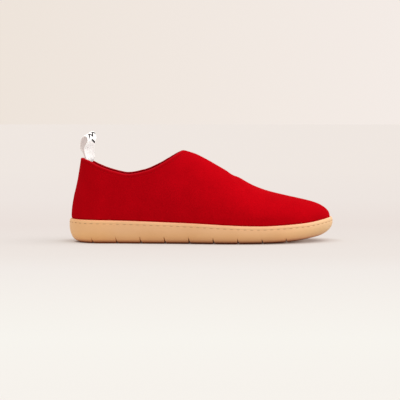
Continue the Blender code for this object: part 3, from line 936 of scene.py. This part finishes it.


# Rubber. The UV map holds millimetres: down from the rim, and up from the tread. Its colour has a
# painted highlight on the rounded rim and painted shade towards the tread's edge, most at the ball,
# with painted light at the toe and along its length.
def rubberMaterial():
    material, shader, add, fill = startMaterial("gumRubber")
    cloud = addNoise(add, sole["cloudSize"], detail=3.0)
    tone = addBlend(add, cloud, 0.25, 0.75, sole["shade"], sole["colour"])
    uv, along = addUV(add), addPlace(add)["X"]
    # painted shade up from the tread, painted highlight down from the rim, painted light and shade along X
    for number, tones in ((uv["Y"], "fromTread"), (uv["X"], "fromRim"), (along, "lengthTones")):
        tone = addProduct(add, tone, addRamp(add, number, sole[tones]))
    # painted shade at the ball's lower edge and painted light at the toe
    for part in ("ball", "toe"):
        share = addRamp(add, along, sole[part + "Share"])
        tones = addRamp(add, uv["Y"], sole[part + "Tones"])
        tone = addProduct(add, tone, addMix(add, share, (1.0, 1.0, 1.0), tones))
    low, high = sole["roughness"]
    rough = add("ShaderNodeMapRange", {"Value": cloud, "To Min": low, "To Max": high})
    fill(shader, {
        "Base Color": tone,
        "Normal": addBump(add, addNoise(add, 0.8, detail=3.0), 0.05, 0.6),
        "Roughness": rough.outputs["Result"],
        "Specular IOR Level": 0.35,
    })
    return material


# Both halves of the cross section joined to a loop at every station, with the grooves cut upwards
# into the underside and the rounded edge.
def makeRubberSole():
    stations = soleStations()
    read = levelReader(stations)
    halves = [soleHalf(stations, read, which) for which in (0, 1)]
    rising = np.sin(np.linspace(0.0, np.pi / 2, sole["edgeRows"]))
    level = np.zeros(sole["treadRows"] + len(sole["stepRows"]))
    lean = sole["grooveLean"] * np.concatenate([level, rising])[:, None]
    uvs = []
    for half in halves:
        under, tread = half[:len(lean)], half[:sole["treadRows"]]
        roof = grooveRoof(under[..., 0], under[..., 1], lean)
        under[..., 2] = np.maximum(under[..., 2], roof)
        fromRim = rimHeight(half[..., 0]) - half[..., 2]
        fromTread = half[..., 2] - bottomHeight(half[..., 0])
        fromTread[:len(tread)] = np.linalg.norm(tread[..., :2] - tread[-1, :, :2], axis=2)
        uvs.append(np.stack([fromRim, fromTread], axis=-1))
    loop, uv = (np.concatenate([first, second[::-1][1:-1]]) for first, second in (halves, uvs))
    faces = gridFaces(len(loop), len(stations), closeRows=True)
    piece = makePiece("rubberSole", loop, [faces], rubberMaterial(), "sole_rubber", uv=uv, merge=0.002)
    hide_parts("sole")


# Stitches all round in the wall's channel.
def makeSoleStitches():
    feather = featherLine(evenTurns(sole["stitchTurns"]))
    lift = max(1.0 - sole["stitchDown"] / sole["rimDrop"], 0.0)
    out = last["gap"] + last["cupWall"] - sole["channelDepth"] + sole["stitchLift"]
    out -= sole["rimRun"] * (1.0 - np.sqrt(1.0 - lift**2))
    outline = grown(feather, out)
    line = np.column_stack([outline, rimHeight(feather[:, 0]) - sole["stitchDown"]])
    outward = np.column_stack([outline - feather, np.zeros(len(feather))])
    thread = threadMaterial("tanThread", scaled(sole["colour"], 0.72))
    rows = evenAlong(line, sole["stitchPitch"], outward)
    makeStitches("soleStitches", sole, *rows, thread, "sole_rubber", stations=9, sides=8)


makeRubberSole()
makeSoleStitches()
print("rubber sole made")

footbed = {
    "colour": (0.40, 0.36, 0.31),
    "mottle": 0.12,
    "thick": 4.0,
    "edgeRound": 1.2,
    "spineInset": 8.0,  # how far inside its edge the line ends on which the rings close
    "turnSteps": 240,
    "topRows": 12,
    "dish": 0.5,  # how far its middle is trodden down
    "lumps": 0.12,
    "lumpCell": 8.0,
}


# Rings from the underside's middle out, round the edge, and back in over the top.
def makeFootbed():
    turn = evenTurns(footbed["turnSteps"])
    feather = featherLine(turn)
    out = -last["feltThick"] - last["gap"]
    spine = grown(feather, out - footbed["spineInset"])
    spine = (spine + np.roll(spine[::-1], 1, axis=0)) / 2.0  # midway between the two sides
    half = footbed["turnSteps"] // 2
    spine[[0, half]] = spine[[1, half - 1]]  # so that no face folds over at its ends
    rows = []
    bend, thick = footbed["edgeRound"], footbed["thick"]

    def ring(outline, lift):
        floor = cupFloorHeight(outline[:, 0]) + last["gap"]
        rows.append(np.column_stack([outline, floor + lift]))

    for share in (0.0, 0.5):
        ring(spine + (grown(feather, out - bend) - spine) * share, 0.0)
    for angle in np.linspace(0.0, np.pi / 2, 4):
        ring(grown(feather, out - bend * (1.0 - np.sin(angle))), bend * (1.0 - np.cos(angle)))
    for angle in np.linspace(0.0, np.pi / 2, 6):
        ring(grown(feather, out - bend * (1.0 - np.cos(angle))), thick - bend * (1.0 - np.sin(angle)))
    top = grown(feather, out - bend)
    for share in np.linspace(1.0, 0.0, footbed["topRows"] + 1)[1:]:
        lumps = softNoise(np.column_stack([top * share, turn]), footbed["lumpCell"], seed=31)
        dish = -footbed["dish"] * smoothStep(1.0 - share) + footbed["lumps"] * lumps * (share > 0.0)
        ring(spine + (top - spine) * share, thick + dish)
    rows = np.array(rows)
    faces = gridFaces(len(rows), len(turn), closeColumns=True)
    material = feltMaterial("footbedFelt", footbed["colour"], footbed["mottle"])
    piece = makePiece("footbed", rows, [faces], material, "insole_felt", merge=0.002)
    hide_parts("insole")


makeFootbed()
print("footbed made")

tape = {
    "colour": (0.96, 0.98, 0.98),
    # painted shade: the darker tone of the tape's inside face
    "inside": (0.667, 0.62, 0.604),
    "ink": (0.012, 0.011, 0.014),
    # painted glow: light of the tape's own colour, though it is no lamp
    "paintedGlow": 0.24,
    "width": 14.0,
    "thick": 1.0,
    "foot": 72.0,
    "sewnTop": 76.0,
    "free": 89.5,
    "top": 114.3,
    "heelInsideRound": 29.0,
    "halfSpan": 5.1,
    "archRise": 1.2,  # times the half span
    "tilt": 21.0,
    # where its axis stands once it has left the heel, and how far it is turned in degrees
    "axisHeight": [76.0, 82.5, 89.0, 94.5, 99.8, 104.0, 109.0, 114.0],
    "axisX": [-118.5, -118.5, -118.6, -119.8, -121.0, -120.5, -119.8, -119.5],
    "axisTurn": [0.0, 18.0, 36.0, 43.0, 48.0, 46.0, 40.0, 37.0],
    "ribs": 0.9,  # weave pitch along the tape
    "warps": 0.7,  # and across it
    "insideShift": 30.0,  # added to the UV map's second number on the inside
    "flatSteps": 17,
    "bendSteps": 5,
    "edgeShare": 0.8,  # how far its edges are rounded, as a share of half its thickness
    "lumps": 0.03,
    "lumpCell": 3.0,
    "stitches": 7,  # in each row across its foot
    "stitchRows": (73.4, 75.4),
    "stitchReach": 5.2,
    "stitchLength": 1.3,
    "stitchRadius": 0.2,
    "stitchLift": 0.08,
    "stitchDip": 0.2,
    # strokes of the print: place along from the arch's top, slant (0 for the zigzag), middle and half
    # length across, half thickness
    "print": [(-5.4, 0.0, 1.0, 5.4, 1.5), (-10.6, -0.77, 2.4, 3.1, 1.0)],
    "zigzag": (32.2, 2.8, 1.5),  # its shift across, half its pitch, and its slope
}


# Middle line of the tape: its spread to either side of the loop's axis and its height, up one leg,
# over half an ellipse and down the other leg.
def loopLine(legSteps=56, archSteps=64):
    shoulder = tape["top"] - tape["archRise"] * tape["halfSpan"]
    leg = np.linspace(tape["foot"], shoulder, legSteps + 1)
    closed = (tape["thick"] + last["gap"]) / 2.0
    opening = smoothStep((leg - tape["free"]) / (shoulder - tape["free"]))
    spread = closed + (tape["halfSpan"] - closed) * opening
    arch = np.linspace(0.0, np.pi, archSteps + 1)[1:-1]
    over = tape["halfSpan"] * np.cos(arch)
    rise = shoulder + (tape["top"] - shoulder) * np.sin(arch)
    return np.concatenate([spread, over, -spread[::-1]]), np.concatenate([leg, rise, leg[::-1]])


# The tape's middle line, its width direction and its face direction at every station.
def loopFrame():
    spread, height = loopLine()
    heel = last["heelHeight"]
    away = smoothStep((height - tape["sewnTop"]) / (heel - tape["sewnTop"]))
    turned = np.radians(curveThrough(tape["axisHeight"], tape["axisTurn"], height))
    tilted = np.radians(tape["tilt"]) * smoothStep((height - heel) / (tape["top"] - heel))
    heelEnd, _ = sectionEnds(np.minimum(height, heel))
    hollow = tape["width"] ** 2 / (8.0 * tape["heelInsideRound"])
    seat = heelEnd + last["feltThick"] + last["gap"] + hollow + tape["thick"] + last["gap"] / 2.0
    axisX = seat + (curveThrough(tape["axisHeight"], tape["axisX"], height) - seat) * away
    apart = np.column_stack([np.cos(turned), -np.sin(turned), 0.0 * turned])
    middle = np.column_stack([axisX, 0.0 * axisX, height]) + apart * spread[:, None]
    level = np.column_stack([np.sin(turned), np.cos(turned), 0.0 * turned])
    wide = level * np.cos(tilted)[:, None] + np.array([0.0, 0.0, 1.0]) * np.sin(tilted)[:, None]
    return middle, wide, unit(np.cross(np.gradient(middle, axis=0), wide))


# White tape with ribs across it, and a generic zigzag and bar printed on its outside by the arch.
# Some light shines through the cotton; it also has a painted glow of its own colour, and painted shade
# on its inside face.
def tapeMaterial(archTop):
    material, shader, add, fill = startMaterial("cottonTape")
    uv = addUV(add)
    u, v = uv["X"], uv["Y"]

    def math(operation, *numbers):
        return addMath(add, operation, *numbers)

    # weave: ribs across the tape, broken up by fine warp threads along it
    ribs = math("SINE", math("MULTIPLY", u, 2.0 * np.pi / tape["ribs"]))
    warp = math("SINE", math("MULTIPLY", v, 2.0 * np.pi / tape["warps"]))
    weave = math("ADD", math("MULTIPLY", ribs, 0.5), math("MULTIPLY", warp, 0.35))
    soft = addNoise(add, 3.0, detail=3.0)
    tone = addBlend(add, soft, 0.3, 0.7, scaled(tape["colour"], 0.95), tape["colour"])
    # painted shade: the inside face takes the darker inside tone
    tone = addMix(add, math("GREATER_THAN", v, tape["insideShift"] / 2.0), tone, tape["inside"])
    # print: a zigzag across the arch and a short slanting bar on the leg, on the outside
    shift, tooth, slope = tape["zigzag"]
    ink = 0.0
    for at, slant, middle, reach, thick in tape["print"]:
        if slant:
            swing = math("MULTIPLY", math("SUBTRACT", v, middle), slant)
        else:
            swing = math("MULTIPLY", math("PINGPONG", math("ADD", v, shift), tooth), slope)
        off = math("ABSOLUTE", math("SUBTRACT", math("SUBTRACT", u, archTop + at), swing))
        within = math("LESS_THAN", math("ABSOLUTE", math("SUBTRACT", v, middle)), reach)
        ink = math("MAXIMUM", ink, math("MULTIPLY", math("LESS_THAN", off, thick), within))
    tone = addMix(add, ink, tone, tape["ink"])
    fill(shader, {
        "Base Color": tone,
        "Normal": addBump(add, weave, 0.04, 0.6),
        "Roughness": 0.85,
        "Specular IOR Level": 0.15,
        "Subsurface Weight": 0.4,
        "Subsurface Radius": (1.0, 1.0, 1.0),
        "Subsurface Scale": 0.0008,
        # painted glow of the tape's colour, weaker on the painted-shade inside
        "Emission Color": tone,
        "Emission Strength": tape["paintedGlow"],
    })
    return material


# The tape's section is a flat shape with rounded edges, carried along the loop's line. The UV map
# holds millimetres: along the tape, and across it from its middle.
def makePullTape():
    middle, wide, face = loopFrame()
    run = runAlong(middle)
    half, thin = tape["width"] / 2.0, tape["thick"] / 2.0
    edge, steps = thin * tape["edgeShare"], tape["flatSteps"]
    flat = np.linspace(-1.0, 1.0, steps) * (half - edge)
    bend = np.linspace(-np.pi / 2, np.pi / 2, tape["bendSteps"] + 2)[1:-1]
    right = np.column_stack([half - edge + edge * np.cos(bend), thin * np.sin(bend)])
    outer = np.column_stack([flat[::-1], np.full(steps, thin)])
    left = np.column_stack([-right[::-1, 0], right[::-1, 1]])
    inner = np.column_stack([flat, np.full(steps, -thin)])
    profile = np.vstack([inner, right, outer, left])
    points = (middle[:, None, :] + wide[:, None, :] * profile[None, :, :1]
              + face[:, None, :] * profile[None, :, 1:])
    lumps = softNoise(points, tape["lumpCell"], seed=41)[..., None]
    points += tape["lumps"] * face[:, None, :] * lumps
    across = np.where(profile[:, 1] < 0.0, 0.0, tape["insideShift"]) + profile[:, 0]
    uv = np.stack(np.broadcast_arrays(run[:, None], across), axis=-1)
    columns = len(profile)
    faces = gridFaces(len(middle), columns, closeColumns=True)
    caps = np.array([np.arange(columns)[::-1], (len(middle) - 1) * columns + np.arange(columns)])
    material = tapeMaterial(run[len(run) // 2])
    piece = makePiece("pullTape", points, [faces, caps], material, "loop_tape", uv=uv)
    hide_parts("pull_loop")


# Two rows of short stitches across the tape's foot, where it is sewn to the heel.
def makeTapeStitches():
    middle, _, _ = loopFrame()
    leg = middle[:len(middle) // 3]  # the leg nearer the toe, rising
    across = np.linspace(-tape["stitchReach"], tape["stitchReach"], tape["stitches"])
    height = np.repeat(tape["stitchRows"], tape["stitches"])
    places = np.column_stack([np.interp(height, leg[:, 2], leg[:, k]) for k in range(3)])
    proud = np.full(len(height), tape["thick"] / 2.0 + tape["stitchLift"])
    places += np.column_stack([proud, np.tile(across, 2), 0.0 * height])
    runs = np.tile([0.0, 1.0, 0.0], (len(height), 1))
    outs = np.tile([1.0, 0.0, 0.0], (len(height), 1))
    # the thread takes the darker tone painted as shade on the tape's inside
    thread = threadMaterial("whiteThread", tape["inside"])
    makeStitches("tapeStitches", tape, places, runs, outs, thread, "loop_tape")


makePullTape()
makeTapeStitches()
print("pull loop made")
